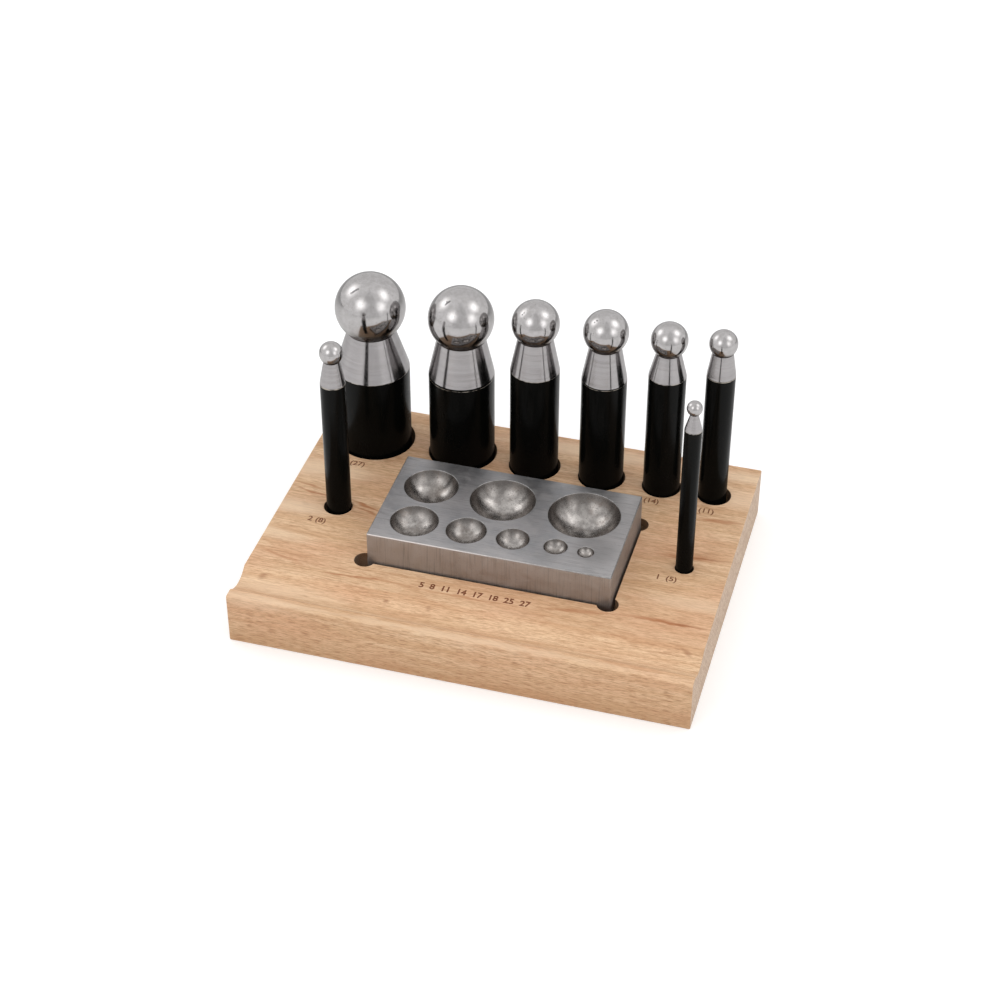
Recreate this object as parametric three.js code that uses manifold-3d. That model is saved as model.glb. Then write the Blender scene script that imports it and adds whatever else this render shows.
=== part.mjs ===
// A dapping block set, with which a jeweller domes discs of sheet metal.
// A steel block with bowl-shaped hollows lies in a pocket of a beech stand. Eight punches stand in
// holes round it, each a round bar whose turned nose carries a steel ball.
// Millimetres. +X runs along the stand's front edge, +Y to the back and +Z up. The origin is the
// middle of the stand's underside.

import * as THREE from "three";
import { mergeVertices, toCreasedNormals } from "three/addons/utils/BufferGeometryUtils.js";
import Module from "manifold-3d";

// The stand, a board with a level top that is called the deck.
const STAND_WIDTH = 171.4;
const STAND_DEPTH = 127.5;
const DECK = 20.8;
const STAND_EASE = 0.5; // chamfer on the board's sawn edges
const LIP_ROUND = 1.1; // radius of the front lip's top edge
const LIP_WIDTH = 4.4; // from the front face to the groove
const GROOVE_WIDTH = 14.1;
const GROOVE_DEPTH = 2.8;

// The pocket for the block, with a drilled relief in each corner.
const POCKET_WIDTH = 93.0;
const POCKET_DEPTH = 50.9;
const POCKET_FLOOR = 14.5;
const POCKET_CENTRE = new THREE.Vector2(2.8, -6.2);
const RELIEF_DIAMETER = 8.0;
const RELIEF_SPAN = new THREE.Vector2(91.5, 47.9);
const RELIEF_CENTRE = new THREE.Vector2(1.6, -6.3);

// The steel block.
const BLOCK_WIDTH = 91.4;
const BLOCK_DEPTH = 49.5;
const BLOCK_THICKNESS = 19.0;
const BLOCK_CENTRE = new THREE.Vector2(2.7, -6.2);
const BLOCK_EASE = 0.4; // chamfer on the ground edges
const BOWL_RIM_EASE = 0.2; // chamfer round each bowl
const BOWL_SPHERE_RATIO = 1.06; // radius of a bowl's sphere to the radius of its mouth

// Diameter of each bowl's mouth, and its middle in the stand's frame.
const BOWLS = [
  { mouth: 20.4, x: -28.7, y: 2.8 },
  { mouth: 24.5, x: -0.8, y: 2.1 },
  { mouth: 26.8, x: 30.4, y: 1.7 },
  { mouth: 17.9, x: -28.5, y: -18.7 },
  { mouth: 15.0, x: -8.7, y: -18.9 },
  { mouth: 12.2, x: 8.9, y: -18.9 },
  { mouth: 8.8, x: 24.9, y: -18.9 },
  { mouth: 6.2, x: 36.1, y: -19.0 },
];

// The punches, named by nominal ball size, and where each stands. ball, neck and shank are
// diameters: the neck is where the nose meets the ball. nose is the length from the shoulder to
// the top of the ball.
const PUNCHES = [
  { size: 27, x: -64.7, y: 43.4, length: 89.0, ball: 26.9, neck: 18.2, shank: 28.6, nose: 39.7 },
  { size: 25, x: -29.1, y: 44.0, length: 88.9, ball: 25.0, neck: 18.4, shank: 25.2, nose: 36.4 },
  { size: 18, x: 0.1, y: 42.8, length: 89.2, ball: 18.0, neck: 13.2, shank: 18.7, nose: 29.0 },
  { size: 17, x: 26.8, y: 42.9, length: 89.7, ball: 17.0, neck: 12.0, shank: 17.1, nose: 28.4 },
  { size: 14, x: 50.5, y: 43.3, length: 88.7, ball: 13.8, neck: 9.1, shank: 14.1, nose: 22.0 },
  { size: 11, x: 70.4, y: 43.3, length: 89.2, ball: 10.6, neck: 7.8, shank: 10.8, nose: 18.5 },
  { size: 8, x: -63.7, y: -2.7, length: 89.0, ball: 8.7, neck: 5.9, shank: 9.4, nose: 17.0 },
  { size: 5, x: 69.3, y: -2.6, length: 89.2, ball: 5.6, neck: 2.8, shank: 6.3, nose: 11.6 },
];

// The hole for each punch. Each punch stands loose, and drift is how far the hole's middle lies to
// the right of it.
const HOLES = {
  27: { diameter: 30.4, drift: 0.5 },
  25: { diameter: 26.7, drift: 0.2 },
  18: { diameter: 20.0, drift: 0.4 },
  17: { diameter: 18.2, drift: 0.3 },
  14: { diameter: 15.0, drift: 0.1 },
  11: { diameter: 12.9, drift: 0.7 },
  8: { diameter: 10.9, drift: -0.4 },
  5: { diameter: 7.0, drift: 0.1 },
};
const HOLE_FLOOR = 5.7;
const BUTT_CHAMFER = 0.8; // on the end of a shank that the hammer strikes
const SEAT_GAP = 0.1; // under the block and under each punch
const CUP_GAP = 0.2; // between a ball and the cup in its nose

// Facets
const PROFILE_FACETS = 10; // along each arc of the stand's end profile
const BALL_RINGS = 16;
const CUP_STEPS = 3;
const BOWL_STEPS = 7;

const wasm = await Module();
wasm.setup();

const BEECH = new THREE.MeshStandardMaterial({ color: 0xcfa67c, roughness: 0.7, metalness: 0 });
const GROUND_STEEL = new THREE.MeshStandardMaterial({ color: 0x8d8f92, roughness: 0.42, metalness: 1 });
const BALL_STEEL = new THREE.MeshStandardMaterial({ color: 0xc9c5c1, roughness: 0.1, metalness: 1 });
const BLACK_FINISH = new THREE.MeshStandardMaterial({ color: 0x15120f, roughness: 0.3, metalness: 0.5 });

// A closed geometry as a solid that can be cut.
function solidOf(geometry) {
  const bare = geometry.clone();
  bare.deleteAttribute("normal");
  bare.deleteAttribute("uv");
  const merged = mergeVertices(bare);
  const triVerts = new Uint32Array(merged.index.array);
  const vertProperties = merged.attributes.position.array;
  return new wasm.Manifold(new wasm.Mesh({ numProp: 3, vertProperties, triVerts }));
}

// A solid as a geometry that is smooth on round faces and sharp on edges.
function geometryOf(solid) {
  const { vertProperties, triVerts } = solid.getMesh();
  const geometry = new THREE.BufferGeometry();
  geometry.setAttribute("position", new THREE.BufferAttribute(vertProperties, 3));
  geometry.setIndex(new THREE.BufferAttribute(triVerts, 1));
  return toCreasedNormals(geometry, Math.PI / 6);
}

// A profile of (radius, height) points turned round the Z axis.
function turned(profile, facets) {
  return new THREE.LatheGeometry(profile, facets).rotateX(Math.PI / 2);
}

// A plan in X and Y raised from one height to another, with eased top and bottom edges.
function raised(plan, bottom, top, ease) {
  const bevel = { bevelThickness: ease, bevelSize: ease, bevelOffset: -ease, bevelSegments: 1 };
  const depth = top - bottom - 2 * ease;
  const geometry = new THREE.ExtrudeGeometry(plan, { depth, bevelEnabled: ease > 0, ...bevel });
  return geometry.translate(0, 0, bottom + ease);
}

// A rectangle whose corners are cut off by the ease.
function rectangle(centre, width, depth, ease) {
  const corners = [];
  for (const [side, end] of [[-1, -1], [1, -1], [1, 1], [-1, 1]]) {
    const x = centre.x + (side * width) / 2;
    const y = centre.y + (end * depth) / 2;
    const alongEnd = new THREE.Vector2(x, y - end * ease);
    const alongSide = new THREE.Vector2(x - side * ease, y);
    corners.push(...(side === end ? [alongEnd, alongSide] : [alongSide, alongEnd]));
  }
  return new THREE.Shape(corners);
}

// More facets round a larger circle.
function facetsRound(diameter) {
  return 4 * Math.round(4 + diameter / 6);
}

// A flat-bottomed drilling that is open above the deck.
function drilling(x, y, diameter, floor) {
  const length = DECK + 1 - floor;
  const bit = new THREE.CylinderGeometry(diameter / 2, diameter / 2, length, facetsRound(diameter));
  return bit.rotateX(Math.PI / 2).translate(x, y, floor + length / 2);
}

// The stand's end profile, with Y to the right and Z up: the rounded front lip, the groove behind
// it that keeps discs from rolling off, and the deck.
function standProfile() {
  const front = -STAND_DEPTH / 2;
  const back = STAND_DEPTH / 2;
  const halfChord = GROOVE_WIDTH / 2;
  const grooveRadius = (halfChord ** 2 + GROOVE_DEPTH ** 2) / (2 * GROOVE_DEPTH);
  const grooveMiddle = front + LIP_WIDTH + halfChord;
  const grooveHalfAngle = Math.asin(halfChord / grooveRadius);
  const down = 1.5 * Math.PI;
  const shape = new THREE.Shape();
  shape.moveTo(back, STAND_EASE);
  shape.lineTo(back, DECK - STAND_EASE);
  shape.lineTo(back - STAND_EASE, DECK);
  shape.lineTo(grooveMiddle + halfChord, DECK);
  const grooveCentre = DECK - GROOVE_DEPTH + grooveRadius;
  const grooveStart = down + grooveHalfAngle;
  const grooveEnd = down - grooveHalfAngle;
  shape.absarc(grooveMiddle, grooveCentre, grooveRadius, grooveStart, grooveEnd, true);
  shape.lineTo(front + LIP_ROUND, DECK);
  shape.absarc(front + LIP_ROUND, DECK - LIP_ROUND, LIP_ROUND, Math.PI / 2, Math.PI, false);
  shape.lineTo(front, STAND_EASE);
  shape.lineTo(front + STAND_EASE, 0);
  shape.lineTo(back - STAND_EASE, 0);
  shape.closePath();
  return shape;
}

// The board, as its end profile run along X with eased ends.
function board() {
  const depth = STAND_WIDTH - 2 * STAND_EASE;
  const ends = { bevelThickness: STAND_EASE, bevelSize: STAND_EASE, bevelOffset: -STAND_EASE };
  const options = { depth, curveSegments: PROFILE_FACETS, bevelSegments: 1, ...ends };
  const geometry = new THREE.ExtrudeGeometry(standProfile(), options);
  geometry.translate(0, 0, -depth / 2);
  // The profile's axes become +Y and +Z, and the run goes along +X.
  const axes = new THREE.Matrix4().makeBasis(
    new THREE.Vector3(0, 1, 0),
    new THREE.Vector3(0, 0, 1),
    new THREE.Vector3(1, 0, 0),
  );
  return geometry.applyMatrix4(axes);
}

// The board with the block's pocket and the punches' holes sunk into its deck.
function stand() {
  const plan = rectangle(POCKET_CENTRE, POCKET_WIDTH, POCKET_DEPTH, 0);
  const pocket = raised(plan, POCKET_FLOOR, DECK + 1, 0);
  let solid = solidOf(board()).subtract(solidOf(pocket));
  for (const side of [-1, 1]) {
    for (const end of [-1, 1]) {
      const x = RELIEF_CENTRE.x + (side * RELIEF_SPAN.x) / 2;
      const y = RELIEF_CENTRE.y + (end * RELIEF_SPAN.y) / 2;
      solid = solid.subtract(solidOf(drilling(x, y, RELIEF_DIAMETER, POCKET_FLOOR)));
    }
  }
  for (const punch of PUNCHES) {
    const { diameter, drift } = HOLES[punch.size];
    const hole = drilling(punch.x + drift, punch.y, diameter, HOLE_FLOOR);
    solid = solid.subtract(solidOf(hole));
  }
  return geometryOf(solid);
}

// The space of one bowl: a cap of a sphere below the block's top, with an eased rim.
function bowlCutter(bowl, top) {
  const mouthRadius = bowl.mouth / 2;
  const sphereRadius = mouthRadius * BOWL_SPHERE_RATIO;
  const sphereHeight = Math.sqrt(sphereRadius ** 2 - mouthRadius ** 2);
  const rimAngle = Math.asin((mouthRadius - BOWL_RIM_EASE) / sphereRadius);
  const profile = [];
  for (let step = 0; step <= BOWL_STEPS; step++) {
    const angle = (rimAngle * step) / BOWL_STEPS;
    const radius = sphereRadius * Math.sin(angle);
    profile.push(new THREE.Vector2(radius, sphereHeight - sphereRadius * Math.cos(angle)));
  }
  profile.push(new THREE.Vector2(mouthRadius, 0));
  profile.push(new THREE.Vector2(mouthRadius + 1, 1));
  profile.push(new THREE.Vector2(0, 1));
  return turned(profile, facetsRound(bowl.mouth)).translate(bowl.x, bowl.y, top);
}

function dappingBlock() {
  const bottom = POCKET_FLOOR + SEAT_GAP;
  const top = bottom + BLOCK_THICKNESS;
  const plan = rectangle(BLOCK_CENTRE, BLOCK_WIDTH, BLOCK_DEPTH, BLOCK_EASE);
  let solid = solidOf(raised(plan, bottom, top, BLOCK_EASE));
  for (const bowl of BOWLS) solid = solid.subtract(solidOf(bowlCutter(bowl, top)));
  return geometryOf(solid);
}

// A ball about its own middle.
function ball(punch) {
  const facets = facetsRound(punch.ball);
  return new THREE.SphereGeometry(punch.ball / 2, facets, BALL_RINGS).rotateX(Math.PI / 2);
}

// A shank from its butt at height 0: a straight bar, a shoulder, and a conical nose with a
// shallow cup for the ball.
function shank(punch) {
  const radius = punch.shank / 2;
  const shoulder = punch.length - punch.nose;
  const ballMiddle = punch.length - punch.ball / 2;
  const cupRadius = punch.ball / 2 + CUP_GAP;
  const neckAngle = Math.asin(punch.neck / 2 / cupRadius);
  const profile = [
    new THREE.Vector2(0, 0),
    new THREE.Vector2(radius - BUTT_CHAMFER, 0),
    new THREE.Vector2(radius, BUTT_CHAMFER),
    new THREE.Vector2(radius, shoulder),
  ];
  for (let step = CUP_STEPS; step >= 0; step--) {
    const angle = (neckAngle * step) / CUP_STEPS;
    const height = ballMiddle - cupRadius * Math.cos(angle);
    profile.push(new THREE.Vector2(cupRadius * Math.sin(angle), height));
  }
  return turned(profile, facetsRound(punch.shank));
}

function mesh(name, geometry, material) {
  const piece = new THREE.Mesh(geometry, material);
  piece.name = name;
  return piece;
}

// One punch standing on the floor of its hole, as a group of its shank and its ball.
function punchGroup(punch) {
  const group = new THREE.Group();
  const head = mesh(`punch_${punch.size}_ball`, ball(punch), BALL_STEEL);
  head.position.z = punch.length - punch.ball / 2;
  group.add(mesh(`punch_${punch.size}_shank`, shank(punch), BLACK_FINISH), head);
  group.position.set(punch.x, punch.y, HOLE_FLOOR + SEAT_GAP);
  return group;
}

const set = new THREE.Group();
set.add(mesh("stand", stand(), BEECH));
set.add(mesh("dapping_block", dappingBlock(), GROUND_STEEL));
for (const punch of PUNCHES) set.add(punchGroup(punch));

export default set;
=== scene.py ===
# A dapping block set: a steel block with bowls in a pocket of a beech stand, and eight punches with
# welded balls standing in holes round it. Sizes are in millimetres until a mesh is made.
import math
from functools import partial

import bmesh
import bpy
import numpy as np
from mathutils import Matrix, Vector
from mathutils.geometry import delaunay_2d_cdt


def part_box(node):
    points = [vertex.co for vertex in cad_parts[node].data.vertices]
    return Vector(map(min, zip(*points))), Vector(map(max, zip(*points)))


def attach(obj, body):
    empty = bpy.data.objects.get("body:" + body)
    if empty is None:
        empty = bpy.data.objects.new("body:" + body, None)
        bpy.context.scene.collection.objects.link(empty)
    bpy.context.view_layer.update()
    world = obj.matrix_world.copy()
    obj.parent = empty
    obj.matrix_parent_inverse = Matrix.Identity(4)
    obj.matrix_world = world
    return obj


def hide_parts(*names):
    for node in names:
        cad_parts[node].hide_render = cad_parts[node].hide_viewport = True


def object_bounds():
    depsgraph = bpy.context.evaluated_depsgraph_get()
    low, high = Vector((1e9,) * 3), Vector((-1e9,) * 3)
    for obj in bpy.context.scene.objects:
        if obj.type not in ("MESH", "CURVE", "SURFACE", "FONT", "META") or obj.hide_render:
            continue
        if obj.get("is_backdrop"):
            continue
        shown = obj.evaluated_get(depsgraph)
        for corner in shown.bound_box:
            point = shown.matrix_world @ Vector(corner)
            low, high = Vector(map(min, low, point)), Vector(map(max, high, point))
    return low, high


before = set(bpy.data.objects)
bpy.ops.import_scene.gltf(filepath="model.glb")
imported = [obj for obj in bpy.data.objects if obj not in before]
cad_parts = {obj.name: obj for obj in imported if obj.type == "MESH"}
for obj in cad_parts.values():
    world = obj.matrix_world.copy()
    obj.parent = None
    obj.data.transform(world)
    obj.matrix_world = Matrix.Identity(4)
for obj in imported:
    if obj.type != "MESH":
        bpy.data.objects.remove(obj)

CAD_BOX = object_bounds()
MM = 0.001

# Camera, where the photograph was taken from: place and clipping in metres, turns in degrees, lens
# and sensor in millimetres.
CAMERA_PLACE = (0.174002, -0.616569, 0.532755)
CAMERA_TILT = 52.304
CAMERA_TURN = 16.037
CAMERA_LENS = 79.98
SENSOR_WIDTH = 36
CLIP = (0.01, 20)
TOWARDS_CAMERA = (math.sin(math.radians(CAMERA_TURN)), -math.cos(math.radians(CAMERA_TURN)), 0)

# Light. The opening is the darker front of the white tent that metal reflects. The lamps have a
# direction from the object, and a power in watts.
WORLD_LEVEL = 0.67
WORLD_ZENITH = 0.28
WORLD_SHOWN = 0.92
BACKDROP_SHARE = 0.85
BACKDROP_EDGE = (-0.1, -1.0)
OPENING_SPREAD = 0.58
OPENING_DIM = 0.2
OPENING_EDGE = (-0.03, 0.07)
FLOOR_REACH = 3.0
FLOOR_TONE = 0.86
FLOOR_DIM = 0.5
FLOOR_DIM_EDGE = (-0.04, -0.35)
FLOOR_LIFT = 0.3
FLOOR_SHEEN = 0.04
LAMP_AIM = Vector((0, 0, 0.04))
LAMP_DISTANCE = 0.9
LAMP_SIZE = 1.05
LAMP_GLOW = (0.5, 0.02)
LAMP_FALL = 2.0
LAMPS = [
    ("lamp_left", (-0.78, 0.10, 0.62), 3.8),
    ("lamp_front_left", (-0.31, -0.73, 0.60), 3.8),
    ("lamp_right", (0.62, 0.15, 0.77), 3.8),
    ("lamp_front_right", (0.76, -0.44, 0.49), 2.8),
]

# Stand
DECK = 20.8
EDGE_ROUND = 0.5
END_ROUND = 0.45
LIP_ROUND = 1.1
LIP_WIDTH = 4.4
GROOVE_WIDTH = 14.1
GROOVE_DEPTH = 2.8
GROOVE_EDGE_ROUND = 0.8
RIM_ROUND = 0.12
POCKET_CENTRE = (2.8, -6.2)
POCKET_SIZE = (93.0, 50.9)
POCKET_FLOOR = 14.5
RELIEF_CENTRE = (1.6, -6.3)
RELIEF_SPAN = (91.5, 47.9)
RELIEF_RADIUS = 4.0
HOLE_FLOOR = 5.7

# Block. A bowl has the diameter of its mouth and its middle in X and Y.
BLOCK_EDGE_ROUND = 0.35
BLOCK_CORNER_ROUND = 0.5
BOWL_RIM_ROUND = 0.22
BOWL_SPHERE_RATIO = 1.06
BOWLS = [
    (20.4, -28.7, 2.8),
    (24.5, -0.8, 2.1),
    (26.8, 30.4, 1.7),
    (17.9, -28.5, -18.7),
    (15.0, -8.7, -18.9),
    (12.2, 8.9, -18.9),
    (8.8, 24.9, -18.9),
    (6.2, 36.1, -19.0),
]

# Punches by nominal ball size: the neck's diameter, the length from the shoulder to the top of the
# ball, the hole's diameter, and how far the hole's middle lies to the right of the punch. The butt
# has a chamfer, and above it a round edge of rings that lie so far in and so far above the chamfer.
PUNCHES = {
    27: (18.2, 39.7, 30.4, 0.5),
    25: (18.4, 36.4, 26.7, 0.2),
    18: (13.2, 29.0, 20.0, 0.4),
    17: (12.0, 28.4, 18.2, 0.3),
    14: (9.1, 22.0, 15.0, 0.1),
    11: (7.8, 18.5, 12.9, 0.7),
    8: (5.9, 17.0, 10.9, -0.4),
    5: (2.8, 11.6, 7.0, 0.1),
}
BUTT_CHAMFER = 0.8
BUTT_CHAMFER_SHARE = 0.2
BUTT_ROUND = [(0.12, -0.12), (0.03, 0.0), (0.0, 0.15)]
WORN_DEPTH = 0.01
SHOULDER_ROUND = 0.08
NOSE_FIRST_RING = 0.3
NOSE_END = 0.05
CUP_GAP = 0.15
CUP_LIP = 0.1

# Welds. The bead's radius is a share of the neck's diameter, but no less than the least. The bead
# is set in and down by shares of that radius, and is a little flat.
BEAD_LEAST = 0.15
BEAD_SHARE = 0.012
BEAD_INSET = 0.35
BEAD_DROP = 0.3
BEAD_FLATNESS = 0.8

# Worn lines round the shanks: how far below the shoulder each starts, and its height.
WORN_LINES = {
    27: (0.0, 0.2),
    25: (0.75, 0.3),
    18: (0.0, 0.25),
    17: (0.45, 0.25),
    14: (0.0, 0.25),
    11: (0.1, 0.35),
    8: (0.0, 0.45),
    5: (0.0, 0.25),
}

# Numbers burnt into the deck: each punch's number and where it starts in X, its ball's size and
# where that starts, and the middle of both in Y. The row of sizes has its start, middle, height and
# width. Figures with brackets are measured by the font, because the brackets reach past them.
FIGURE_HEIGHT = 2.7
FIGURE_DEPTH = 0.12
FIGURE_BOLDNESS = 0.016
FONT_FIGURE_HEIGHT = 0.729
FIGURES = [
    ("1", 61.0, "(5)", 64.3, -10.0),
    ("2", -72.6, "(8)", -69.5, -12.6),
    ("3", 64.0, "(11)", 67.4, 32.8),
    ("4", 42.7, "(14)", 46.1, 33.2),
    ("5", 19.2, "(17)", 22.6, 30.6),
    ("6", -7.4, "(18)", -4.0, 29.6),
    ("7", -36.6, "(25)", -33.2, 27.4),
    ("8", -72.0, "(27)", -68.6, 24.8),
]
SIZES_ROW = ("5  8  11  14  17  18  25  27", -20.7, -38.1, 2.9, 41.6)
SIZES_ROW_BOLDNESS = 0.03

# Growth rings of the beech: the way from the heart of the log, which lay behind the middle and well
# below the stand, how many there are in a millimetre, and how far they waver.
FROM_HEART = (0, -18, 150)
RINGS_PER_MM = 0.19
RING_WAVER = 30.0

# Streaks, pale patches, which are partly pale wood and partly painted light, and knots in the deck:
# the middle in X and Y, half the length and width, the tilt in degrees, and how strongly the mark
# shows.
RED_STREAKS = [
    (-73, -37, 14, 1.2, -16.7, 0.5),
    (-40, -40.2, 20, 0.9, 4, 0.35),
    (38, -36.8, 19, 1.5, 9.9, 0.55),
    (69, -33.9, 20, 1.3, 0.4, 0.75),
    (70, 3.7, 17, 2.3, 4.5, 0.7),
    (76.5, 28, 13, 1.6, 5.5, 0.65),
    (47, -54.4, 22, 0.9, 3.2, 0.3),
    (-66, 14, 22, 1.6, 1, 0.2),
    (-30, 57.5, 40, 1.8, 0.6, 0.25),
    (-3, -40.8, 27, 0.7, 0, 0.45),
    (-44, -40.4, 24, 0.35, 3.5, 0.65),
    (-41, -38.6, 22, 0.3, -3, 0.4),
    (66, -34.4, 20, 0.35, 1, 0.5),
    (-72, 2.2, 17, 0.8, -11, 0.8),
    (-54, 0.2, 10, 0.9, -14, 0.85),
    (-53, -2.8, 8, 0.7, -14, 0.75),
    (-79, 6.6, 9, 0.7, -9, 0.65),
    (-68, -35.5, 26, 4, -3, 0.16),
    (0, -42, 95, 12, 0, 0.14),
    (62, 5, 26, 9, 0, 0.14),
]
PALE_WOOD_AND_PAINTED_LIGHT = [
    (-84, -24, 26, 5, -6, 0.45),
    (-82, -7, 24, 6.5, 0, 0.6),
    (-77, 18, 30, 8.5, 0, 0.6),
    (-70, -52.2, 42, 6, 0, 0.6),
    (78, -22, 26, 5, 0, 0.4),
    (84, 43, 20, 8, 2, 0.5),
    (82, 57, 24, 5, 0, 0.5),
    (22, 57, 60, 5.5, 0, 0.65),
    (0, -62, 86, 2.4, 0, 0.45),
    (-76, -62, 34, 3.4, 0, 0.45),
]
DARK_MARKS = [
    (-77.7, -47.9, 2.6, 1.5, 20, 0.5),
    (-30.1, -48.2, 1.8, 1.2, 0, 0.6),
    (-14.3, -48.3, 1.6, 1.2, -15, 0.4),
    (-59.5, -53.2, 3.2, 0.35, -8, 0.75),
    (80, -46.6, 3.6, 0.8, -25, 0.45),
    (74, -33.9, 12, 0.4, 0.4, 0.5),
    (76, 4.3, 9, 0.45, 3, 0.5),
]

# How far from its middle a mark starts to show and is full, as shares of its size
MARK_EDGE = (1.05, 0.2)
SPOT_CORE = 0.3

# Scuffs on the balls, and painted shade in the bowls and on the block's top: the middle, the
# radius and how strongly it shows.
BALL_SCUFFS = [
    (-69.2, 35.7, 91.4, 0.75, 0.58),
    (-68.6, 35.9, 91.8, 0.75, 0.72),
    (-68.1, 36.2, 92.2, 0.75, 0.72),
    (-67.5, 36.5, 92.6, 0.75, 0.72),
    (-66.9, 36.8, 92.9, 0.75, 0.58),
    (-32.9, 37.1, 91.9, 0.62, 0.58),
    (-32.6, 37.4, 92.2, 0.62, 0.72),
    (-32.3, 37.6, 92.5, 0.62, 0.72),
    (-31.9, 37.9, 92.7, 0.62, 0.72),
    (-31.6, 38.1, 92.9, 0.62, 0.58),
    (-32.7, 38.1, 92.6, 0.56, 0.58),
    (-3.6, 37.7, 92.4, 0.5, 0.8),
    (-3.1, 38.1, 93, 0.5, 0.72),
    (23.4, 38.5, 93.4, 0.5, 0.72),
    (24.2, 38.9, 94, 0.5, 0.87),
]
BOWL_PAINTED_SHADE = [
    (-28.7, 3.6, 26.4, 5, 0.5),
    (-28.7, 7.6, 28.2, 4.2, 0.5),
    (30.4, -1.4, 24.4, 6, 0.22),
    (-8.7, -16.8, 28.7, 4.8, 0.42),
    (24.9, -18.9, 30.2, 3.6, 0.5),
    (36.1, -19, 31.3, 2.8, 0.5),
]
BLOCK_PAINTED_SHADE = [
    (39, -17.5, 33.6, 12, 0.4),
    (24, -25, 33.6, 8, 0.2),
]

# How finely the round forms are divided
ROUND_SEGMENTS = 96
ARC_STEPS = 5
GROOVE_STEPS = 28
GROOVE_EDGE_STEPS = 6
LIP_STEPS = 8
RELIEF_STEPS = 24
BOWL_STEPS = 20
BOWL_RIM_STEPS = 4
BALL_RINGS = 64
NOSE_STEPS = 12
CUP_STEPS = 8
BEAD_STEPS = 12
FIGURE_STEPS = 4

# Material slots: the main one, then those of the stand, the block and the punches' bars
MAIN = 0
BURNT, BORED = 1, 2
BOWL, EDGE = 1, 2
NOSE, WORN = 1, 2

# Tolerances: a length that counts as nothing, and how near the corners of a plate meet, both in
# millimetres, how near those of a figure merge, in the font's unit, and those of a mesh, in metres.
TINY = 1e-6
PLATE_TOLERANCE = 1e-5
FIGURE_TOLERANCE = 1e-5
MERGE_DISTANCE = 2e-6


# Shapes
def arc(centre, radius, start, end, steps):
    """Points and outward normals along an arc, from one angle to another, in degrees."""
    found = []
    for step in range(steps + 1):
        angle = math.radians(start + (end - start) * step / steps)
        normal = Vector((math.cos(angle), math.sin(angle)))
        found.append((Vector(centre) + radius * normal, normal))
    return found


def circle(x, y, radius):
    """Points round a circle."""
    turns = [2 * math.pi * step / ROUND_SEGMENTS for step in range(ROUND_SEGMENTS)]
    return [(x + radius * math.cos(turn), y + radius * math.sin(turn)) for turn in turns]


class Shell:
    """Collects the faces of one piece, in millimetres, and makes its mesh."""

    def __init__(self):
        self.vertices = []
        self.faces = []
        self.slots = []
        self.smooth = []

    def add(self, vertices, faces, slot=MAIN, smooth=False):
        start = len(self.vertices)
        self.vertices += [tuple(vertex) for vertex in vertices]
        for face in faces:
            self.faces.append([start + index for index in face])
            self.slots.append(slot)
            self.smooth.append(smooth)

    def band(self, low, high, slot=MAIN, smooth=True):
        """Quads between two closed loops of as many points. smooth may hold a value for each."""
        count = len(low)
        flags = smooth if isinstance(smooth, list) else [smooth] * count
        for flag in (True, False):
            faces = [
                (step, (step + 1) % count, count + (step + 1) % count, count + step)
                for step in range(count)
                if flags[step] is flag
            ]
            if faces:
                self.add(list(low) + list(high), faces, slot, flag)

    def plate(self, loops, height, slot=MAIN, turned_down=False):
        """A level face inside the first loop, with the other loops as holes or islands."""
        points = []
        edges = []
        for loop in loops:
            start = len(points)
            points += [Vector(point[:2]) for point in loop]
            count = len(loop)
            edges += [(start + step, start + (step + 1) % count) for step in range(count)]
        found, _, faces, _, _, _ = delaunay_2d_cdt(points, edges, [], 1, PLATE_TOLERANCE)
        corners = np.array([found[index] for face in faces for index in face]).reshape(-1, 3, 2)
        middles = corners.mean(axis=1)
        crossings = np.zeros(len(faces), int)
        for loop in loops:
            ends = np.array([point[:2] for point in loop])
            for (x0, y0), (x1, y1) in zip(ends, np.roll(ends, -1, axis=0)):
                if y0 == y1:
                    continue
                spans = (middles[:, 1] >= min(y0, y1)) & (middles[:, 1] < max(y0, y1))
                reach = x0 + (middles[:, 1] - y0) * (x1 - x0) / (y1 - y0)
                crossings += spans & (middles[:, 0] < reach)
        kept = [face for face, crossed in zip(faces, crossings) if crossed % 2]
        if turned_down:
            kept = [face[::-1] for face in kept]
        self.add([(x, y, height) for x, y in found], kept, slot, False)

    def lathe(self, profile, centre):
        """Turns a profile round an upright axis. Each point is (radius, height, slot, smooth),
        where slot and smooth are those of the band that ends there."""
        count = ROUND_SEGMENTS
        rings = []
        for radius, height, _, _ in profile:
            points = circle(*centre, radius)[: count if radius > TINY else 1]
            rings.append([(x, y, height) for x, y in points])
        for (low, high), (_, _, slot, smooth) in zip(zip(rings, rings[1:]), profile[1:]):
            if len(low) == 1:
                faces = [(0, 1 + (step + 1) % count, 1 + step) for step in range(count)]
            elif len(high) == 1:
                faces = [(step, (step + 1) % count, count) for step in range(count)]
            else:
                self.band(low, high, slot, smooth)
                continue
            self.add(low + high, faces, slot, smooth)

    def build(self, name, materials, body, replaces=()):
        mesh = bpy.data.meshes.new(name)
        points = [tuple(value * MM for value in vertex) for vertex in self.vertices]
        mesh.from_pydata(points, [], self.faces)
        for material in materials:
            mesh.materials.append(material)
        mesh.polygons.foreach_set("material_index", self.slots)
        mesh.polygons.foreach_set("use_smooth", self.smooth)
        joined = bmesh.new()
        joined.from_mesh(mesh)
        bmesh.ops.remove_doubles(joined, verts=joined.verts, dist=MERGE_DISTANCE)
        joined.to_mesh(mesh)
        joined.free()
        piece = bpy.data.objects.new(name, mesh)
        bpy.context.scene.collection.objects.link(piece)
        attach(piece, body)
        if replaces:
            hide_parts(*replaces)
        return piece


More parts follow.
